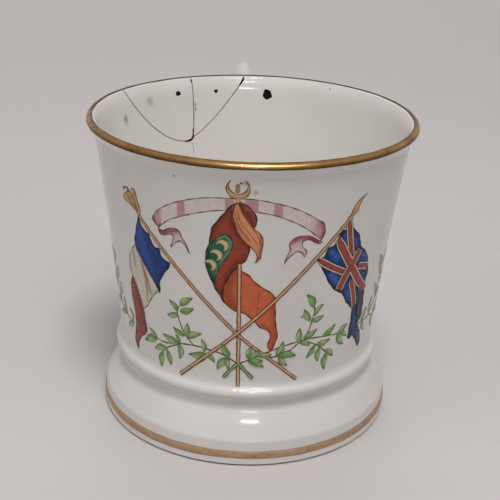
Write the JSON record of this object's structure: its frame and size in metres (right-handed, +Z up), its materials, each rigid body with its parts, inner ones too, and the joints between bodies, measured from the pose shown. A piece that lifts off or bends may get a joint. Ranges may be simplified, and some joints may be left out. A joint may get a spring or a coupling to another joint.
{
  "type": "mug",
  "caption": "Footed porcelain mug with a flared gilt lip, a moulded spreading foot with a gilt band, an ear-shaped loop handle and a painted front, for drinking from.",
  "frame": {"origin": "middle of the bounding box at table level; the cup's axis stands 13.35 mm from it towards -Y", "axes": "+Z up along the cup's axis, +Y towards the handle, -Y towards the painted front"},
  "size_m": [0.092, 0.1188, 0.0875],
  "materials": {
    "porcelain": "white porcelain under a clear glossy glaze",
    "gilding": "worn burnished gold"
  },
  "bodies": {
    "root": {"cup_body": "porcelain", "rim_shard_left": "porcelain", "rim_shard_right": "porcelain", "handle": "porcelain", "luting_upper": "porcelain", "luting_lower": "porcelain", "rim_gilding": "gilding", "rim_gilding_left": "gilding", "rim_gilding_right": "gilding", "foot_gilding": "gilding"}
  },
  "joints": []
}
